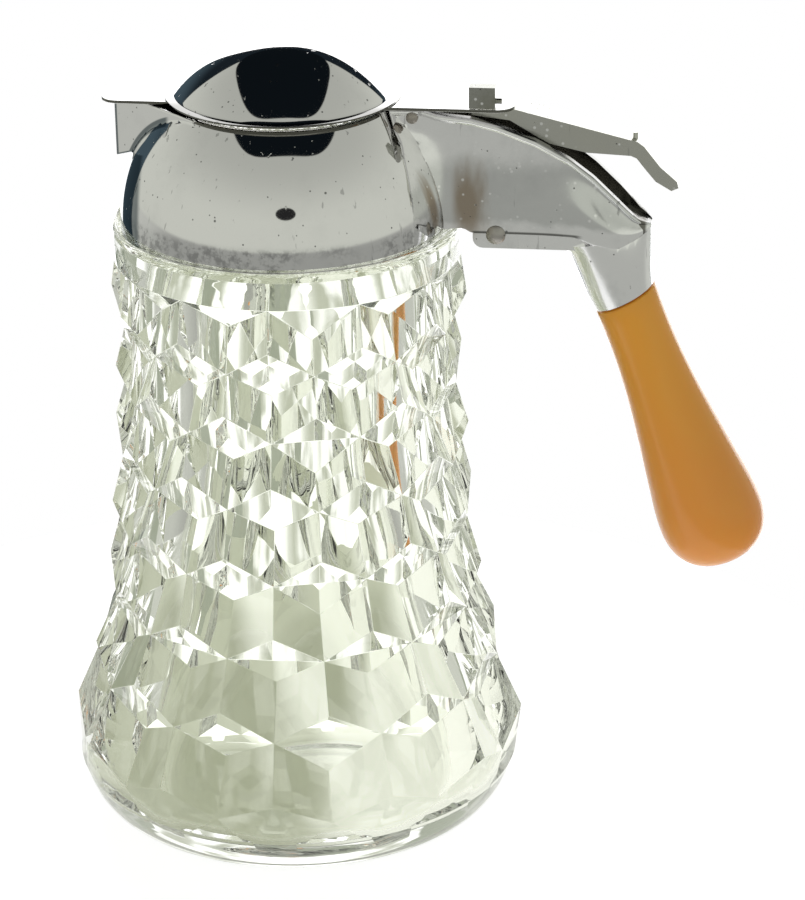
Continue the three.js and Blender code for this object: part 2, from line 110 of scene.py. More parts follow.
class Skin:
    """Corners in millimetres and faces of one piece."""

    def __init__(self):
        self.points = []
        self.faces = []

    def point(self, x, y, z):
        self.points.append((x, y, z))
        return len(self.points) - 1

    def polar(self, r, turn, z):
        return self.point(r * math.cos(turn), r * math.sin(turn), z)

    def face(self, *corners):
        kept = [c for i, c in enumerate(corners) if c != corners[i - 1]]
        if len(kept) > 2:
            self.faces.append(kept)

    def band(self, low, high):
        for i in range(len(low)):
            j = (i + 1) % len(low)
            self.face(low[i], low[j], high[j], high[i])

    def fan(self, centre, ring):
        for i in range(len(ring)):
            self.face(centre, ring[i], ring[(i + 1) % len(ring)])

    def build(self, name):
        mesh = bpy.data.meshes.new(name)
        mesh.from_pydata([[c * MM for c in p] for p in self.points], [], self.faces)
        mesh.validate()
        return place(name, mesh)


def place(name, mesh):
    obj = bpy.data.objects.new(name, mesh)
    bpy.context.scene.collection.objects.link(obj)
    return obj


def bake(obj):
    """Replaces the mesh with what its modifiers give."""
    bpy.context.view_layer.update()
    evaluated = obj.evaluated_get(bpy.context.evaluated_depsgraph_get())
    mesh = bpy.data.meshes.new_from_object(evaluated)
    obj.modifiers.clear()
    obj.data = mesh
    return obj


def smooth(obj):
    for polygon in obj.data.polygons:
        polygon.use_smooth = True
    return obj


def clean(obj, join=1e-6):
    """Joins doubled corners, merges flat faces and turns all faces outwards."""
    work = bmesh.new()
    work.from_mesh(obj.data)
    bmesh.ops.remove_doubles(work, verts=work.verts, dist=join)
    bmesh.ops.dissolve_limit(work, angle_limit=math.radians(0.6), verts=work.verts, edges=work.edges)
    bmesh.ops.recalc_face_normals(work, faces=work.faces)
    work.to_mesh(obj.data)
    work.free()
    return obj


def soften(obj, width, segments=3, angle=25, flat=True, clamp=True):
    """Rounds every edge sharper than the angle; flat keeps large faces flat in their shading."""
    smooth(obj)
    bevel = obj.modifiers.new("soften", "BEVEL")
    bevel.width = width * MM
    bevel.segments = segments
    bevel.limit_method = "ANGLE"
    bevel.angle_limit = math.radians(angle)
    bevel.use_clamp_overlap = clamp
    if flat:
        weighted = obj.modifiers.new("flat", "WEIGHTED_NORMAL")
        weighted.mode = "FACE_AREA"
        weighted.weight = 100
    return bake(obj)


def turned(name, profile, sides=192):
    """A closed radius and height outline turned about Z."""
    skin = Skin()
    rings = []
    for r, z in profile:
        if r < 1e-6:
            centre = skin.point(0, 0, z)
            rings.append([centre] * sides)
        else:
            rings.append([skin.polar(r, 2 * math.pi * i / sides, z) for i in range(sides)])
    for low, high in zip(rings, rings[1:]):
        skin.band(low, high)
    return skin.build(name)


def finish_piece(obj, body, slot, material, *nodes):
    obj.data.materials.clear()
    obj.data.materials.append(material)
    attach(obj, body)
    if nodes:
        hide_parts(*nodes)
    return obj


# Node helpers

class Graph:
    def __init__(self, tree):
        self.tree = tree
        tree.nodes.clear()

    def put(self, socket, value):
        if isinstance(value, bpy.types.NodeSocket):
            self.tree.links.new(value, socket)
        else:
            socket.default_value = value

    def add(self, kind, inputs=None, **settings):
        node = self.tree.nodes.new(kind)
        for key, value in settings.items():
            setattr(node, key, value)
        for key, value in (inputs or {}).items():
            self.put(node.inputs[key], value)
        return node

    def math(self, operation, a, b=0.0, clamp=False):
        node = self.add("ShaderNodeMath", {0: a, 1: b}, operation=operation, use_clamp=clamp)
        return node.outputs[0]

    def times(self, a, b):
        return self.math("MULTIPLY", a, b)

    def plus(self, a, b, clamp=False):
        return self.math("ADD", a, b, clamp)

    def minus(self, a, b):
        return self.math("SUBTRACT", a, b)

    def over(self, a, b):
        return self.math("DIVIDE", a, b)

    def most(self, a, b):
        return self.math("MAXIMUM", a, b)

    def power(self, a, b):
        return self.math("POWER", a, b)

    def size(self, a):
        return self.math("ABSOLUTE", a)

    def upward(self):
        """The surface's own direction, measured along Z."""
        return self.dot(self.add("ShaderNodeNewGeometry").outputs["Normal"], UP)

    def height(self, at):
        return self.add("ShaderNodeSeparateXYZ", {"Vector": at}).outputs["Z"]

    def distance(self, a, b):
        return self.add("ShaderNodeVectorMath", {0: a, 1: b}, operation="DISTANCE").outputs["Value"]

    def dot(self, vector, direction):
        node = self.add("ShaderNodeVectorMath", {0: vector, 1: direction}, operation="DOT_PRODUCT")
        return node.outputs["Value"]

    def step(self, value, low, high):
        """0 below low, 1 above high, smooth between; low may be above high to turn it round."""
        flip = low > high
        node = self.add("ShaderNodeMapRange", {"Value": value, "From Min": min(low, high),
                                               "From Max": max(low, high), "To Min": 1.0 if flip else 0.0,
                                               "To Max": 0.0 if flip else 1.0},
                        interpolation_type="SMOOTHSTEP")
        return node.outputs["Result"]

    def mix(self, share, a, b):
        node = self.add("ShaderNodeMix", data_type="RGBA")
        self.put(node.inputs["Factor"], share)
        self.put([s for s in node.inputs if s.name == "A" and s.type == "RGBA"][0], a)
        self.put([s for s in node.inputs if s.name == "B" and s.type == "RGBA"][0], b)
        return [s for s in node.outputs if s.type == "RGBA"][0]

    def blend(self, share, a, b):
        node = self.add("ShaderNodeMapRange", {"Value": share, "To Min": a, "To Max": b})
        return node.outputs["Result"]

    def noise(self, vector, scale, detail=4.0, rough=0.5, distortion=0.0):
        node = self.add("ShaderNodeTexNoise", {"Vector": vector, "Scale": scale, "Detail": detail,
                                               "Roughness": rough, "Distortion": distortion})
        return node.outputs["Fac"]

    def stretch(self, vector, scale):
        node = self.add("ShaderNodeMapping", {"Vector": vector, "Scale": scale})
        return node.outputs["Vector"]


def grey(level, warm=0.0):
    return (level * (1 + warm), level, level * (1 - warm), 1.0)


def material(name):
    made = bpy.data.materials.new(name)
    made.use_nodes = True
    graph = Graph(made.node_tree)
    shader = graph.add("ShaderNodeBsdfPrincipled")
    graph.add("ShaderNodeOutputMaterial", {"Surface": shader.outputs["BSDF"]})
    at = graph.add("ShaderNodeTexCoord").outputs["Object"]
    return made, graph, shader, at


# Materials

def glass_material():
    made, graph, shader, at = material("pressed_glass")
    ripple = graph.noise(at, 90, detail=1.0)
    fine = graph.noise(at, 700, detail=1.0)
    height = graph.plus(ripple, graph.times(fine, 0.04))
    bump = graph.add("ShaderNodeBump", {"Strength": 0.3, "Distance": 0.00014, "Height": height})
    tint = graph.mix(graph.noise(at, 40), GLASS_DEEP, GLASS_PALE)
    graph.put(shader.inputs["Base Color"], tint)
    graph.put(shader.inputs["Normal"], bump.outputs["Normal"])
    shader.inputs["Transmission Weight"].default_value = 1.0
    shader.inputs["Roughness"].default_value = 0.0
    shader.inputs["IOR"].default_value = 1.5
    return made


def specks(graph, at, scale, size, share):
    """Small round spots in a share of the cells."""
    cells = graph.add("ShaderNodeTexVoronoi", {"Vector": at, "Scale": scale, "Randomness": 1.0})
    chosen = graph.step(graph.dot(cells.outputs["Color"], FORWARD), 1.0 - share, 1.02 - share)
    spots = graph.step(cells.outputs["Distance"], size, size * 0.5)
    return graph.times(spots, chosen)


def scratches(graph, at, scale, low, high):
    return graph.step(graph.noise(graph.stretch(at, scale), 1.0, detail=3.0), low, high)


def metal_material(name, colour, low_rough, high_rough, film, grain):
    """Plated metal: uneven gloss, fine pits and scratches, and a film of its own."""
    made, graph, shader, at = material(name)
    pits = graph.most(specks(graph, at, 1100, 0.20, 0.09), specks(graph, at, 420, 0.11, 0.10))
    lines = graph.times(scratches(graph, at, (900, 900, 80), 0.67, 0.73), 0.5)
    marks = graph.most(pits, lines)
    shade = graph.mix(graph.times(marks, 0.8), film(graph, at, colour), grey(0.10))
    graph.put(shader.inputs["Base Color"], shade)
    rough = graph.blend(graph.noise(at, 260, detail=5.0, rough=0.6), low_rough, high_rough)
    rough = graph.plus(rough, graph.times(marks, 0.25), clamp=True)
    graph.put(shader.inputs["Roughness"], rough)
    height = graph.minus(graph.times(graph.noise(at, grain, detail=3.0), 0.06), marks)
    bump = graph.add("ShaderNodeBump", {"Strength": 0.3, "Distance": 0.00005, "Height": height})
    graph.put(shader.inputs["Normal"], bump.outputs["Normal"])
    shader.inputs["Metallic"].default_value = 1.0
    return made


def sheet_painted_shade(graph, at, height):
    """1 on the thin sheets' edges and on the brim's underside, where painted shade stands in for the
    shadowed gap under the brim.
    """
    facing = graph.upward()
    sheet = graph.times(graph.step(height, *SHEETS_FROM), graph.step(height, *SHEETS_TO))
    depth = graph.size(graph.dot(at, ACROSS))
    clear = graph.most(graph.step(facing, -0.6, -0.4), graph.step(depth, *PLATE_EDGE))
    return graph.times(graph.times(sheet, graph.step(facing, 0.6, 0.4)), clear)


def brim_painted_shade(graph, at, height):
    """1 on the front of the lid's brim, where painted shade greys its bright reflection."""
    facing = graph.upward()
    flat = graph.times(graph.step(height, *BRIM_FROM), graph.step(height, *BRIM_TO))
    front = graph.step(graph.dot(at, ACROSS), *BRIM_FRONT)
    return graph.times(graph.times(flat, front), graph.step(facing, 0.5, 0.6))


def spout_painted_reflection(graph, at, height):
    """1 along the joint of spout and dome, and on the spout's front and lower edges: a painted dark
    reflection, standing in for the fillet at the joint and the edges mirroring the dark room.
    """
    depth = graph.size(graph.dot(at, ACROSS))
    forward = graph.dot(at, FORWARD)
    wall = graph.times(graph.plus(forward, -SPOUT_TIP_X * MM), SPOUT_SLOPE)
    off_wall = graph.size(graph.minus(depth, wall))
    from_centre = graph.distance(at, (0.0, 0.0, CAP_CENTRE_Z * MM))
    joint = graph.times(graph.step(off_wall, *JOINT_WIDE), graph.step(from_centre, *JOINT_ON_DOME))
    joint = graph.times(joint, graph.step(height, *JOINT_FROM))
    keel = graph.plus(graph.times(forward, SPOUT_KEEL_RISE),
                      (SPOUT_KEEL_Z - SPOUT_TIP_X * SPOUT_KEEL_RISE) * MM)
    lower = graph.step(graph.minus(height, keel), *KEEL_LINE)
    lower = graph.times(lower, graph.step(forward, *KEEL_TO))
    edge = graph.most(graph.step(forward, *PROW_LINE), lower)
    front = graph.times(edge, graph.step(height, *PROW_TOP))
    return graph.most(graph.times(joint, graph.step(forward, *JOINT_TO)), front)


def bright_film_and_shade(graph, at, colour):
    """A faint cloudy film, and mottled tarnish along the cap's lower edge, with painted shade on the brim
    and the sheets and a painted dark reflection on the spout.
    """
    cloud = graph.step(graph.noise(at, 90, detail=6.0, rough=0.65), 0.5, 0.75)
    shade = graph.mix(graph.times(cloud, 0.25), colour, grey(0.60))
    height = graph.height(at)
    mottle = graph.step(graph.noise(at, 620, detail=5.0, rough=0.7), 0.42, 0.60)
    patch = graph.step(graph.noise(at, 60, detail=1.0), 0.40, 0.52)
    edge = graph.times(graph.step(height, *TARNISH_TOP), graph.times(mottle, patch))
    shade = graph.mix(graph.times(graph.step(height, *CLOUDED_TOP), 0.35), shade, CLOUDED)
    shade = graph.mix(graph.times(edge, 0.75), shade, grey(0.32))
    # painted shade: the front of the lid's brim darkened to tone down its reflection
    shade = graph.mix(graph.times(brim_painted_shade(graph, at, height), 0.9), shade, BRIM_SHADE)
    # painted shade: the sheets' edges and the brim's underside darkened to olive
    shade = graph.mix(graph.times(sheet_painted_shade(graph, at, height), 0.9), shade, OLIVE)
    # painted reflection: a dark blue line along the spout's joint and edges
    return graph.mix(graph.times(spout_painted_reflection(graph, at, height), 0.85), shade, DARK_BLUE)


def worn_film(graph, at, colour):
    """Grey clouds, pale pitting and a brown stain at the housing's root."""
    cloud = graph.step(graph.noise(at, 110, detail=6.0, rough=0.65), 0.45, 0.72)
    shade = graph.mix(graph.times(cloud, 0.35), colour, CLOUD_GREY)
    from_stain = graph.distance(graph.stretch(at, (1, 2, 0.5)), STAIN_AT)
    uneven = graph.times(graph.noise(graph.stretch(at, (1, 1, 0.3)), 420, detail=5.0), 0.004)
    near = graph.step(graph.plus(from_stain, uneven), *STAIN_REACH)
    near = graph.times(near, graph.step(graph.dot(at, FORWARD), *STAIN_FROM))
    shade = graph.mix(graph.times(near, 0.75), shade, STAIN_BROWN)
    cluster = graph.step(graph.noise(at, 130, detail=2.0), 0.44, 0.56)
    pale = graph.times(specks(graph, at, 900, 0.28, 0.42), cluster)
    return graph.mix(graph.times(pale, 0.7), shade, grey(1.0))


def housing_film_and_shade(graph, at, colour):
    """The worn film, with painted shade across the middle, on the rims' upward faces and in the channel,
    and darker along the lower edge.
    """
    forward = graph.dot(at, FORWARD)
    depth = graph.size(graph.dot(at, ACROSS))
    channel = graph.times(graph.step(depth, *CHANNEL_WIDE), graph.step(forward, *CHANNEL_TO))
    height = graph.height(at)
    # painted shade: a darker band across the middle height of the housing's sides
    uneven = graph.times(graph.minus(graph.noise(at, 160, detail=4.0), 0.5), 0.006)
    wavy = graph.plus(height, uneven)
    dark = graph.times(graph.step(wavy, *DARK_TOP), graph.step(wavy, *DARK_LOW))
    shade = graph.mix(graph.times(dark, 0.85), colour, DARK_GREY)
    shade = worn_film(graph, at, shade)
    # painted shade: the upward faces of the rims darkened
    facing = graph.upward()
    lip = graph.times(graph.step(facing, 0.45, 0.65), graph.step(depth, *LIP_WIDE))
    shade = graph.mix(graph.times(lip, 0.8), shade, LIP_GREY)
    # darker along the housing's lower edge
    seam = graph.times(graph.step(height, *LOWER_EDGE_TOP), graph.step(forward, *LOWER_EDGE_FROM))
    seam = graph.times(seam, graph.step(forward, *LOWER_EDGE_TO))
    shade = graph.mix(graph.times(seam, 0.85), shade, LOWER_EDGE_DARK)
    # painted shade: the channel between the rims darkened where it lies deep in shade
    return graph.mix(graph.times(channel, 0.93), shade, CHANNEL_SHADE)


def grip_material():
    made, graph, shader, at = material("moulded_resin")
    height = graph.height(at)
    along = graph.step(height, 0.088, 0.046)
    swirl = graph.noise(graph.stretch(at, (1, 1, 0.4)), 70, detail=4.0, distortion=1.0)
    base = graph.mix(along, AMBER_TOP, AMBER_END)
    base = graph.mix(graph.times(graph.step(swirl, 0.45, 0.8), 0.45), base, AMBER_SWIRL)
    dots = specks(graph, at, 190, 0.07, 0.07)
    graph.put(shader.inputs["Base Color"], graph.mix(dots, base, RESIN_SPOT))
    rough = graph.blend(graph.noise(at, 300, detail=5.0), 0.16, 0.3)
    graph.put(shader.inputs["Roughness"], rough)
    bump = graph.add("ShaderNodeBump", {"Strength": 0.15, "Distance": 0.0001,
                                        "Height": graph.noise(at, 500, detail=3.0)})
    graph.put(shader.inputs["Normal"], bump.outputs["Normal"])
    shader.inputs["Subsurface Weight"].default_value = 0.12
    shader.inputs["Subsurface Radius"].default_value = (0.004, 0.0015, 0.0006)
    shader.inputs["Subsurface Scale"].default_value = 1.0
    shader.inputs["Specular IOR Level"].default_value = 0.35
    shader.inputs["Coat Weight"].default_value = 0.15
    shader.inputs["Coat Roughness"].default_value = 0.12
    return made


# Jar: the same corners as the CAD jar, with finer rings and rounded ridges

COLUMNS = 12
PATTERN_TURN = 1.8
ROW_Z = [95.5, 84.0, 72.9, 61.4, 49.0, 36.1, 23.5, 10.2]
ROW_R = [28.3, 26.8, 27.1, 28.0, 28.9, 30.2, 33.8, 36.6]
NOSE_RISE, NOSE_OUT = 4.7, 1.5
PIT_DROP, PIT_IN = 4.05, 2.6
SEAM_EVERY, SEAM_COLUMN, SEAM_DROP = 4, 3, 2.0
LAST_NOSE = (38.0, 14.0)
BASE_CURVE = [(37.2, 7.0), (35.9, 3.4), (34.4, 1.1), (32.9, 0)]
BAND_R = 27.9
BAND_CURVE = [(28.05, 97.0), (28.05, 99.0), (27.9, 100.5), (27.55, 101.2), (27.15, 101.2), (27.0, 99.7)]
NECK_R, NECK_TOP = 24.6, 106.0
BORE = [(21.9, 106.0), (22.2, 100.0), (22.6, 94.0), (22.6, 62.0), (24.4, 48.0), (26.2, 36.0),
        (29.2, 24.0), (31.3, 16.0), (32.7, 9.0), (32.3, 6.1), (30.2, 4.8), (24.0, 4.3)]
FLOOR_Z = 4.2
JAR_STEP = 8  # ring segments for each half column


def curve_through(points, each=6):
    """A smooth line through radius and height points."""
    made = []
    for i in range(len(points) - 1):
        p0, p1 = points[max(i - 1, 0)], points[i]
        p2, p3 = points[i + 1], points[min(i + 2, len(points) - 1)]
        for s in range(each):
            t = s / each
            made.append(tuple(
                0.5 * (2 * b + (c - a) * t + (2 * a - 5 * b + 4 * c - d) * t * t
                       + (3 * b - a - 3 * c + d) * t ** 3)
                for a, b, c, d in zip(p0, p1, p2, p3)))
    made.append(points[-1])
    return made


def jar_piece(glass):
    skin = Skin()
    half = 2 * COLUMNS
    sides = half * JAR_STEP
    last = len(ROW_Z) - 1

    def turn_of(j):
        return math.radians(PATTERN_TURN + j * 360 / half)

    def ring_of(r, z):
        return [skin.polar(r, turn_of(i / JAR_STEP), z) for i in range(sides)]

    def radius_at(z):
        k = 0
        while k < last - 1 and z < ROW_Z[k + 1]:
            k += 1
        share = (ROW_Z[k] - z) / (ROW_Z[k] - ROW_Z[k + 1])
        return ROW_R[k] + (ROW_R[k + 1] - ROW_R[k]) * share

    def on_seam(k, j):
        return k % 2 == 0 and (j - SEAM_COLUMN) % half % (2 * SEAM_EVERY) == 0

    foot = ring_of(BAND_R, ROW_Z[0])
    sixes, pits, noses = {}, {}, {}
    for k in range(last + 1):
        for j in range(half):
            if (j + k) % 2 == 0:
                sixes[k, j] = foot[j * JAR_STEP] if k == 0 else skin.polar(ROW_R[k], turn_of(j), ROW_Z[k])
                continue
            if k < last:
                z = ROW_Z[k] - PIT_DROP - (SEAM_DROP if on_seam(k, j) else 0)
                pits[k, j] = skin.polar(radius_at(z) - PIT_IN, turn_of(j), z)
            if 0 < k < last:
                z = ROW_Z[k] + NOSE_RISE
                noses[k, j] = skin.polar(radius_at(z) + NOSE_OUT, turn_of(j), z)
            if k == last:
                noses[k, j] = skin.polar(LAST_NOSE[0], turn_of(j), LAST_NOSE[1])
    for k in range(last):
        for j in range(k % 2, half, 2):
            left, right = sixes[k, j], sixes[k, (j + 2) % half]
            pit = pits[k, (j + 1) % half]
            if k == 0:
                for i in range(2 * JAR_STEP):
                    skin.face(foot[(j * JAR_STEP + i) % sides], pit, foot[(j * JAR_STEP + i + 1) % sides])
            else:
                skin.face(left, pit, right)
                skin.face(left, right, noses[k, (j + 1) % half])
            nose = noses[k + 1, j]
            skin.face(nose, sixes[k + 1, (j + 1) % half], pit, left)
            skin.face(sixes[k + 1, (j - 1) % half], nose, left, pits[k, (j - 1) % half])
    curve = curve_through(BASE_CURVE, 3)
    lower = ring_of(*curve[0])
    middle = JAR_STEP // 2
    for j in range(half):
        n = (j + 1) % half
        a = sixes[last, j] if (j + last) % 2 == 0 else noses[last, j]
        b = sixes[last, n] if (n + last) % 2 == 0 else noses[last, n]
        near = [lower[(j * JAR_STEP + i) % sides] for i in range(JAR_STEP + 1)]
        for i in range(middle):
            skin.face(near[i], near[i + 1], a)
            skin.face(near[middle + i], near[middle + i + 1], b)
        skin.face(a, near[middle], b)
    for r, z in curve[1:]:
        following = ring_of(r, z)
        skin.band(following, lower)
        lower = following
    skin.fan(skin.point(0, 0, 0), lower[::-1])
    upper = foot
    neck = [(NECK_R, BAND_CURVE[-1][1]), (NECK_R, NECK_TOP)]
    rings = curve_through(BAND_CURVE, 3) + neck + curve_through(BORE, 5)
    for r, z in rings:
        following = ring_of(r, z)
        skin.band(upper, following)
        upper = following
    skin.fan(skin.point(0, 0, FLOOR_Z), upper)
    jar = clean(skin.build("jar"))
    soften(jar, 0.5, segments=3, angle=14)
    return finish_piece(jar, FIXED, "glass", glass, "glass_jar")


# Cap with its spout

CAP_R, CAP_CENTRE_Z, CAP_WALL, CAP_BOTTOM, CAP_TOP = 26.5, 101.2, 0.7, 100.0, 121.0
SPOUT_TIP_X, SPOUT_SLOPE, SPOUT_KEEL_Z, SPOUT_KEEL_RISE, SPOUT_ROOT_X = -27.3, 0.9, 110.4, 0.5, -12


def cap_profile(grow):
    r = CAP_R + grow
    over = 2.0 if grow else 0.0
    low, high = CAP_BOTTOM - over, CAP_TOP + over
    base = CAP_CENTRE_Z + 0.6
    profile = [(0, low), (math.sqrt(r * r - 0.36), low)]
    count = 40
    for i in range(count + 1):
        z = base + (high - base) * i / count
        profile.append((math.sqrt(r * r - (z - CAP_CENTRE_Z) ** 2), z))
    return profile + [(0, high)]


def spout_prism(name, inset):
    tip = SPOUT_TIP_X + inset * 1.5
    run = SPOUT_ROOT_X - tip
    side, keel = run * SPOUT_SLOPE, SPOUT_KEEL_Z + inset
    root = keel + SPOUT_KEEL_RISE * run
    high = CAP_TOP + (2 if inset else 0)
    skin = Skin()
    near, far = (SPOUT_ROOT_X, -side), (SPOUT_ROOT_X, side)
    low = [skin.point(tip, 0, keel), skin.point(*near, root), skin.point(*far, root)]
    top = [skin.point(tip, 0, high), skin.point(*near, high), skin.point(*far, high)]
    skin.band(low, top)
    skin.face(*low[::-1])
    skin.face(*top)
    return skin.build(name)


def combine(obj, other, operation):
    tool = obj.modifiers.new("combine", "BOOLEAN")
    tool.operation = operation
    tool.object = other
    tool.solver = "EXACT"
    bake(obj)
    bpy.data.objects.remove(other)
    return obj


def cap_piece(chrome):
    cap = combine(turned("cap_shell", cap_profile(0)), spout_prism("spout_out", 0), "UNION")
    hollow = turned("cap_inside", cap_profile(-CAP_WALL))
    inside = combine(hollow, spout_prism("spout_in", CAP_WALL), "UNION")
    combine(cap, inside, "DIFFERENCE")
    cap.name = "cap_and_spout"
    soften(cap, 0.3, segments=4, angle=24, clamp=False)
    return finish_piece(cap, FIXED, "chrome", chrome, "cap")


# Lid

LID_R, LID_TOP, LID_SPREAD, LID_THICK = 21.5, 130.8, 53.8, 0.3
BRIM_R, BRIM_Z = 18.75, 122.0


def lid_piece(chrome):
    over, under = [], []
    count = 40
    for i in range(count + 1):
        turn = math.radians(LID_SPREAD * i / count)
        over.append((LID_R * math.sin(turn), LID_TOP - LID_R * (1 - math.cos(turn))))
        inner = LID_R - LID_THICK
        under.append((inner * math.sin(turn), LID_TOP - LID_THICK - inner * (1 - math.cos(turn))))
    rest = BRIM_Z - LID_THICK
    over.append((BRIM_R, BRIM_Z))
    under[-1] = (under[-1][0], rest)
    under.append((BRIM_R - 0.1, rest))
    lid = turned("lid", under + over[::-1])
    soften(lid, 0.06, segments=2, angle=24, flat=False)
    return finish_piece(lid, SLIDING, "chrome", chrome, "lid_dome")


# Grip

FERRULE_CUT = [(49.5, 87.1), (58.9, 92.0)]
GRIP_TOP, GRIP_LEAN, GRIP_TOP_R, GRIP_END = (54.25, 89.45), 21.2, 5.2, 48.9
GRIP = [(3.0, 5.12), (8.0, 5.15), (13.0, 5.4), (18.0, 5.85), (23.0, 6.45), (28.0, 7.15), (33.0, 7.85),
        (37.0, 8.4), (40.0, 8.6), (42.3, 8.5), (44.6, 7.9), (46.5, 6.7), (47.8, 5.0), (48.6, 2.7)]


def grip_piece(resin):
    skin = Skin()
    sides = 96
    lean = math.radians(GRIP_LEAN)
    axis = (math.sin(lean), -math.cos(lean))
    cut = (FERRULE_CUT[1][0] - FERRULE_CUT[0][0], FERRULE_CUT[1][1] - FERRULE_CUT[0][1])
    long = math.hypot(*cut)

    def ring(distance, r, across):
        made = []
        for i in range(sides):
            turn = 2 * math.pi * i / sides
            c = r * math.cos(turn)
            made.append(skin.point(GRIP_TOP[0] + axis[0] * distance + across[0] * c, r * math.sin(turn),
                                   GRIP_TOP[1] + axis[1] * distance + across[1] * c))
        return made

    square = (math.cos(lean), math.sin(lean))
    rings = [ring(0.3, GRIP_TOP_R, (cut[0] / long, cut[1] / long))]
    profile = curve_through(GRIP + [(GRIP_END - 0.02, 0.9)], 4)
    rings += [ring(distance, r, square) for distance, r in profile]
    for high, low in zip(rings, rings[1:]):
        skin.band(low, high)
    for distance, loop in ((0.3, rings[0]), (GRIP_END, rings[-1][::-1])):
        skin.fan(skin.point(GRIP_TOP[0] + axis[0] * distance, 0, GRIP_TOP[1] + axis[1] * distance), loop)
    grip = skin.build("moulded_grip")
    soften(grip, 0.25, segments=2, angle=40, flat=False)
    return finish_piece(grip, FIXED, "grip", resin, "grip")


# Housing

RIM = [(14, 120.9), (22.6, 120.9), (24.6, 120.2), (26.6, 119.9), (30.0, 119.6), (34.1, 118.6),
       (40.2, 116.3), (45.5, 113.4), (49.3, 110.5), (53.2, 106.7), (56.4, 103.3), (58.4, 102.1)]
SKIRT = [(14, 101.5), (28.9, 101.5), (30.2, 100.7), (46.4, 100.7), (49.5, 99.7),
         (53.3, 99.2), (55.4, 100.1), (58.4, 101.5)]
SIDE_HALF = 4.6
BELLY = {"x": 52.0, "reach": 6.5, "out": 1.5}
NOSE_CENTRE_X, NOSE_REACH = 52.4, 6.2
BEAD = {"out": 0.35, "tall": 1.1}
CHANNEL = {"half": 3.4, "depth": 3.2}
FLARE = {"x": 22.6, "reach": 6.5, "low": 12.8, "high": 4.7, "low_z": 101, "high_z": 117.5}
STATIONS = 90
CAP_SKIN = 26.2  # the housing's root ends inside the cap's wall


def along(table, x):
    for (x0, y0), (x1, y1) in zip(table, table[1:]):
        if x <= x1:
            break
    share = min(1, max(0, (x - x0) / (x1 - x0)))
    return y0 + (y1 - y0) * share


def smooth_step(t):
    s = min(1, max(0, t))
    return s * s * (3 - 2 * s)


def housing_half(x, z, share):
    belly = BELLY["out"] * math.exp(-((x - BELLY["x"]) / BELLY["reach"]) ** 2) * smooth_step(share * 1.6)
    half = SIDE_HALF + belly
    t = (x - FLARE["x"]) / FLARE["reach"]
    if t < 1:
        climb = smooth_step((z - FLARE["low_z"]) / (FLARE["high_z"] - FLARE["low_z"]))
        reach = FLARE["low"] + (FLARE["high"] - FLARE["low"]) * climb
        near = 1 - max(0, t)
        half = max(half, SIDE_HALF + (reach - SIDE_HALF) * (1 - math.sqrt(1 - near * near)))
    ahead = max(0, x - NOSE_CENTRE_X) / NOSE_REACH
    return half * math.sqrt(max(0.01, 1 - ahead * ahead))


def housing_piece(satin):
    skin = Skin()
    shares = [1 - i / 14 for i in range(15)]
    x0, x1 = RIM[0][0], RIM[-1][0]
    rings = []
    for i in range(STATIONS + 1):
        x = x0 + (x1 - x0) * math.sin(i / STATIONS * math.pi * 0.5)
        high, low = along(RIM, x), along(SKIRT, x)
        tall = high - low
        bead = min(BEAD["tall"], tall * 0.25)
        near = []
        for share in shares:
            z = low + (tall - bead) * (1 - share)
            near.append((housing_half(x, z, share), z))
        neck = near[-1][0]
        taper = min(1, neck / SIDE_HALF)
        out = BEAD["out"] * taper
        for step in range(1, 7):
            turn = math.pi * step / 6
            near.append((neck + out * math.sin(turn), high - bead * (1 - step / 6)))
        groove = min(CHANNEL["half"], neck * 0.72)
        floor = high - min(CHANNEL["depth"], tall * 0.3)
        near += [(groove, high), (groove, floor)]
        loop = [skin.point(x, -y, z) for y, z in near]
        far = [skin.point(x, y, z) for y, z in near[::-1]]
        rings.append(loop + far)
    for before, after in zip(rings, rings[1:]):
        skin.band(after, before)
    skin.face(*rings[0])
    skin.face(*rings[-1][::-1])
    centre = Vector((0, 0, CAP_CENTRE_Z))
    for i, corner in enumerate(skin.points):
        reach = Vector(corner) - centre
        if reach.length < CAP_SKIN:
            skin.points[i] = tuple(centre + reach * (CAP_SKIN / max(reach.length, 1e-6)))
    housing = skin.build("housing")
    soften(housing, 0.3, segments=2, angle=35)
    return finish_piece(housing, FIXED, "satin", satin, "handle_housing")


# Small parts keep their CAD form, with rounded edges

def softened_node(node, name, body, slot, look, width, angle=25, segments=3):
    piece = place(name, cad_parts[node].data.copy())
    clean(piece, join=1e-6)
    soften(piece, width, segments=segments, angle=angle)
    return finish_piece(piece, body, slot, look, node)


# Room

def camera():
    data = bpy.data.cameras.new("camera")
    data.lens = LENS
    data.sensor_width = SENSOR
    data.sensor_fit = "HORIZONTAL"
    data.clip_start = CLIP_START
    made = bpy.data.objects.new("camera", data)
    bpy.context.scene.collection.objects.link(made)
    right, up, back = Vector(CAMERA_RIGHT), Vector(CAMERA_UP), -Vector(CAMERA_FORWARD)
    turn = Matrix((right, up, back)).transposed().to_4x4()
    made.matrix_world = Matrix.Translation(CAMERA_AT) @ turn
    bpy.context.scene.camera = made


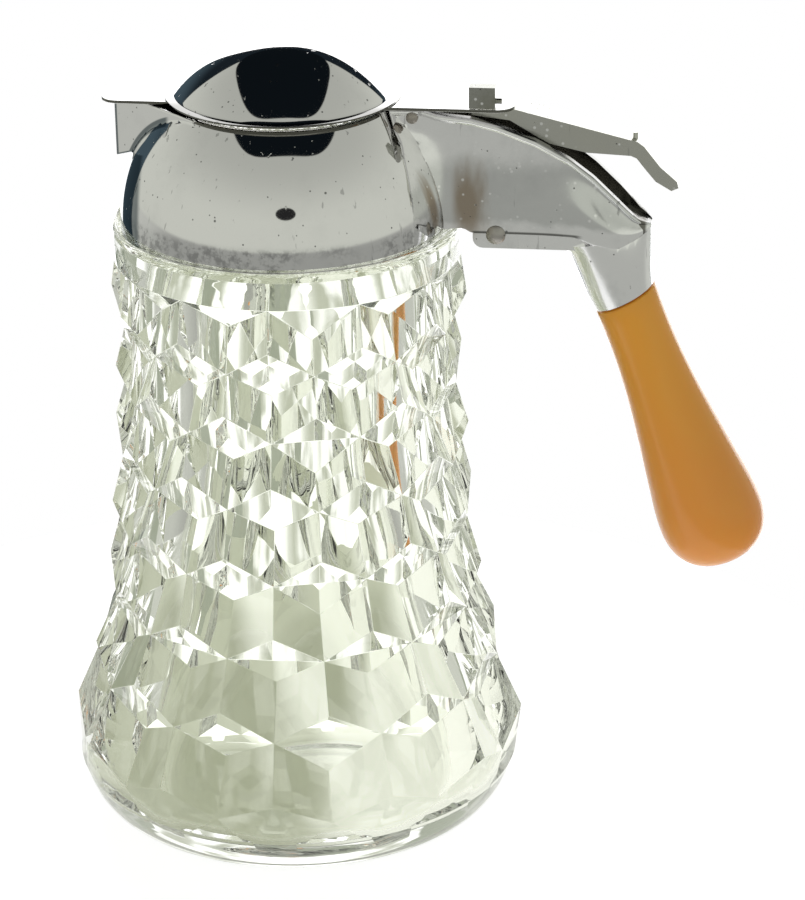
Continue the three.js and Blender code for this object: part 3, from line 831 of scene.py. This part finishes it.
def room():
    """A white backdrop, grey panels all round, and a dark opening overhead."""
    world = bpy.data.worlds.new("room")
    bpy.context.scene.world = world
    world.use_nodes = True
    graph = Graph(world.node_tree)
    at = graph.add("ShaderNodeTexCoord").outputs["Generated"]
    aside, away = graph.dot(at, ASIDE), graph.dot(at, AWAY)
    rise = graph.dot(at, UP)
    safe_rise = graph.most(rise, 0.001)
    roof_x, roof_y = graph.over(aside, safe_rise), graph.over(away, safe_rise)
    safe_away = graph.most(away, 0.001)
    wall_x, wall_y = graph.over(aside, safe_away), graph.over(rise, safe_away)

    def inside(x, y, centre, half, top, soft, square=4.0):
        """1 inside a rounded upright shape that is centre +- half wide and reaches up to top."""
        across = graph.power(graph.size(graph.over(graph.minus(x, centre), half)), square)
        height = graph.power(graph.most(graph.over(y, top), 0.0), square)
        return graph.step(graph.plus(across, height), 1.0 + soft, 1.0 - soft)

    behind = graph.step(away, 0.0, 0.02)
    lowered = graph.plus(wall_y, graph.times(graph.most(wall_x, 0.0), BACKDROP_SLOPE))
    backdrop = graph.times(behind, inside(wall_x, lowered, *BACKDROP))
    gap = graph.times(behind, inside(wall_x, wall_y, *GAP))
    over = graph.step(rise, 0.0, 0.02)
    front_y = graph.minus(HOLE_AHEAD, roof_y)
    hole = graph.times(over, inside(roof_x, graph.size(front_y), *HOLE))
    path = graph.add("ShaderNodeLightPath")
    through = graph.math("GREATER_THAN", path.outputs["Transmission Depth"], 0.5)
    panel = graph.mix(graph.step(rise, 0.2, 0.85), PANEL_LOW, PANEL_HIGH)
    ground = graph.mix(graph.step(away, -0.1, 0.35), GROUND_NEAR, GROUND_FAR)
    end = graph.mix(through, GROUND_END, grey(BRIGHT))
    ground = graph.mix(graph.step(away, 0.45, 0.7), ground, end)
    light = graph.mix(graph.step(rise, -0.10, -0.14), panel, ground)
    slate = graph.mix(graph.step(wall_y, 0.1, 0.7), SLATE_LOW, SLATE_HIGH)
    light = graph.mix(gap, light, graph.mix(through, slate, GLASS_GAP))
    wander = graph.times(graph.minus(graph.noise(at, 3.0, detail=1.0), 0.5), 0.30)
    aslant = graph.size(graph.plus(graph.minus(aside, 0.02), wander))
    blobs = graph.mix(graph.step(graph.noise(at, 5.5, detail=2.0), 0.42, 0.60), SAGE, grey(1.35))
    seen = grey(1.5)
    for edge, colour in zip(STRIP_EDGES, (blobs, grey(1.3), GLASS_SIDE)):
        seen = graph.mix(graph.step(aslant, *edge), seen, colour)
    light = graph.mix(backdrop, light, graph.mix(through, grey(BRIGHT), seen))
    light = graph.mix(hole, light, graph.mix(through, BLACK, GLASS_HOLE))
    across = graph.over(graph.minus(graph.dot(at, ASIDE), OPENING_ASIDE), OPENING_WIDE)
    upward = graph.over(graph.dot(at, OPENING_UP), OPENING_TALL)
    oval = graph.plus(graph.times(across, across), graph.times(upward, upward))
    opening = graph.times(graph.step(away, 0.0, -0.1), graph.step(oval, 1.1, 0.9))
    light = graph.mix(opening, light, grey(0.02))
    light = graph.mix(path.outputs["Is Camera Ray"], light, grey(1.0))
    graph.add("ShaderNodeOutputWorld", {"Surface": graph.add(
        "ShaderNodeBackground", {"Color": light, "Strength": 1.0}).outputs["Background"]})


def floor():
    """A small pale disc that glows; seen through the glass its glow is a painted shade, greyer on the
    left.
    """
    skin = Skin()
    sides, reach, drop = 96, 110, 0.3
    skin.face(*[skin.polar(reach, 2 * math.pi * i / sides, -drop) for i in range(sides)])
    made = skin.build("floor")
    look, graph, shader, at = material("pale_floor")
    graph.put(shader.inputs["Base Color"], graph.mix(graph.noise(at, 30), grey(0.48), grey(0.5)))
    shader.inputs["Roughness"].default_value = 0.5
    path = graph.add("ShaderNodeLightPath")
    through = graph.math("GREATER_THAN", path.outputs["Transmission Depth"], 0.5)
    # painted shade: only for rays through the glass, the floor's glow is greyer on the left
    side = graph.step(graph.dot(at, ASIDE), -0.004, 0.012)
    cloud = graph.times(graph.noise(at, 55, detail=3.0), 0.15)
    below = graph.mix(graph.plus(side, cloud, clamp=True), FLOOR_LEFT, FLOOR_RIGHT)
    graph.put(shader.inputs["Emission Color"], graph.mix(through, grey(0.85), below))
    shader.inputs["Emission Strength"].default_value = 1.0
    made.data.materials.append(look)


camera()
room()
floor()

GLASS = glass_material()
CHROME = metal_material("bright_plate", grey(0.84, 0.005), 0.02, 0.07, bright_film_and_shade, 700)
WORN_AND_SHADED = metal_material("worn_shaded_plate", grey(0.96), 0.09, 0.24, housing_film_and_shade, 900)
CAST = metal_material("cast_plate", grey(0.98), 0.13, 0.26, worn_film, 900)
DULL = metal_material("dull_plate", (0.54, 0.54, 0.49, 1), 0.14, 0.30, worn_film, 900)
HEADS = metal_material("dull_heads", (0.40, 0.37, 0.33, 1), 0.34, 0.48, worn_film, 900)
TAB = metal_material("tab_plate", (0.27, 0.27, 0.225, 1), 0.14, 0.30, worn_film, 900)
RESIN = grip_material()

jar_piece(GLASS)
cap_piece(CHROME)
lid_piece(CHROME)
grip_piece(RESIN)
housing_piece(WORN_AND_SHADED)
softened_node("handle_bracket", "bracket", FIXED, "satin", CAST, 0.3, angle=30)
softened_node("housing_rivet", "rivet", FIXED, "satin", HEADS, 0.1, angle=50)
softened_node("guide_pin", "pin", FIXED, "satin", HEADS, 0.1, angle=50)
softened_node("slide_plate", "plate", SLIDING, "chrome", CHROME, 0.12, angle=30)
softened_node("thumb_lever", "lever", SLIDING, "satin", DULL, 0.35, angle=25)
softened_node("plate_tab", "tab", SLIDING, "satin", TAB, 0.45, angle=30)

bpy.context.scene.view_settings.view_transform = "Standard"
bpy.context.scene.cycles.transmission_bounces = 16
bpy.context.scene.cycles.glossy_bounces = 12
bpy.context.scene.cycles.max_bounces = 20
bpy.context.scene.cycles.sample_clamp_indirect = 6.0
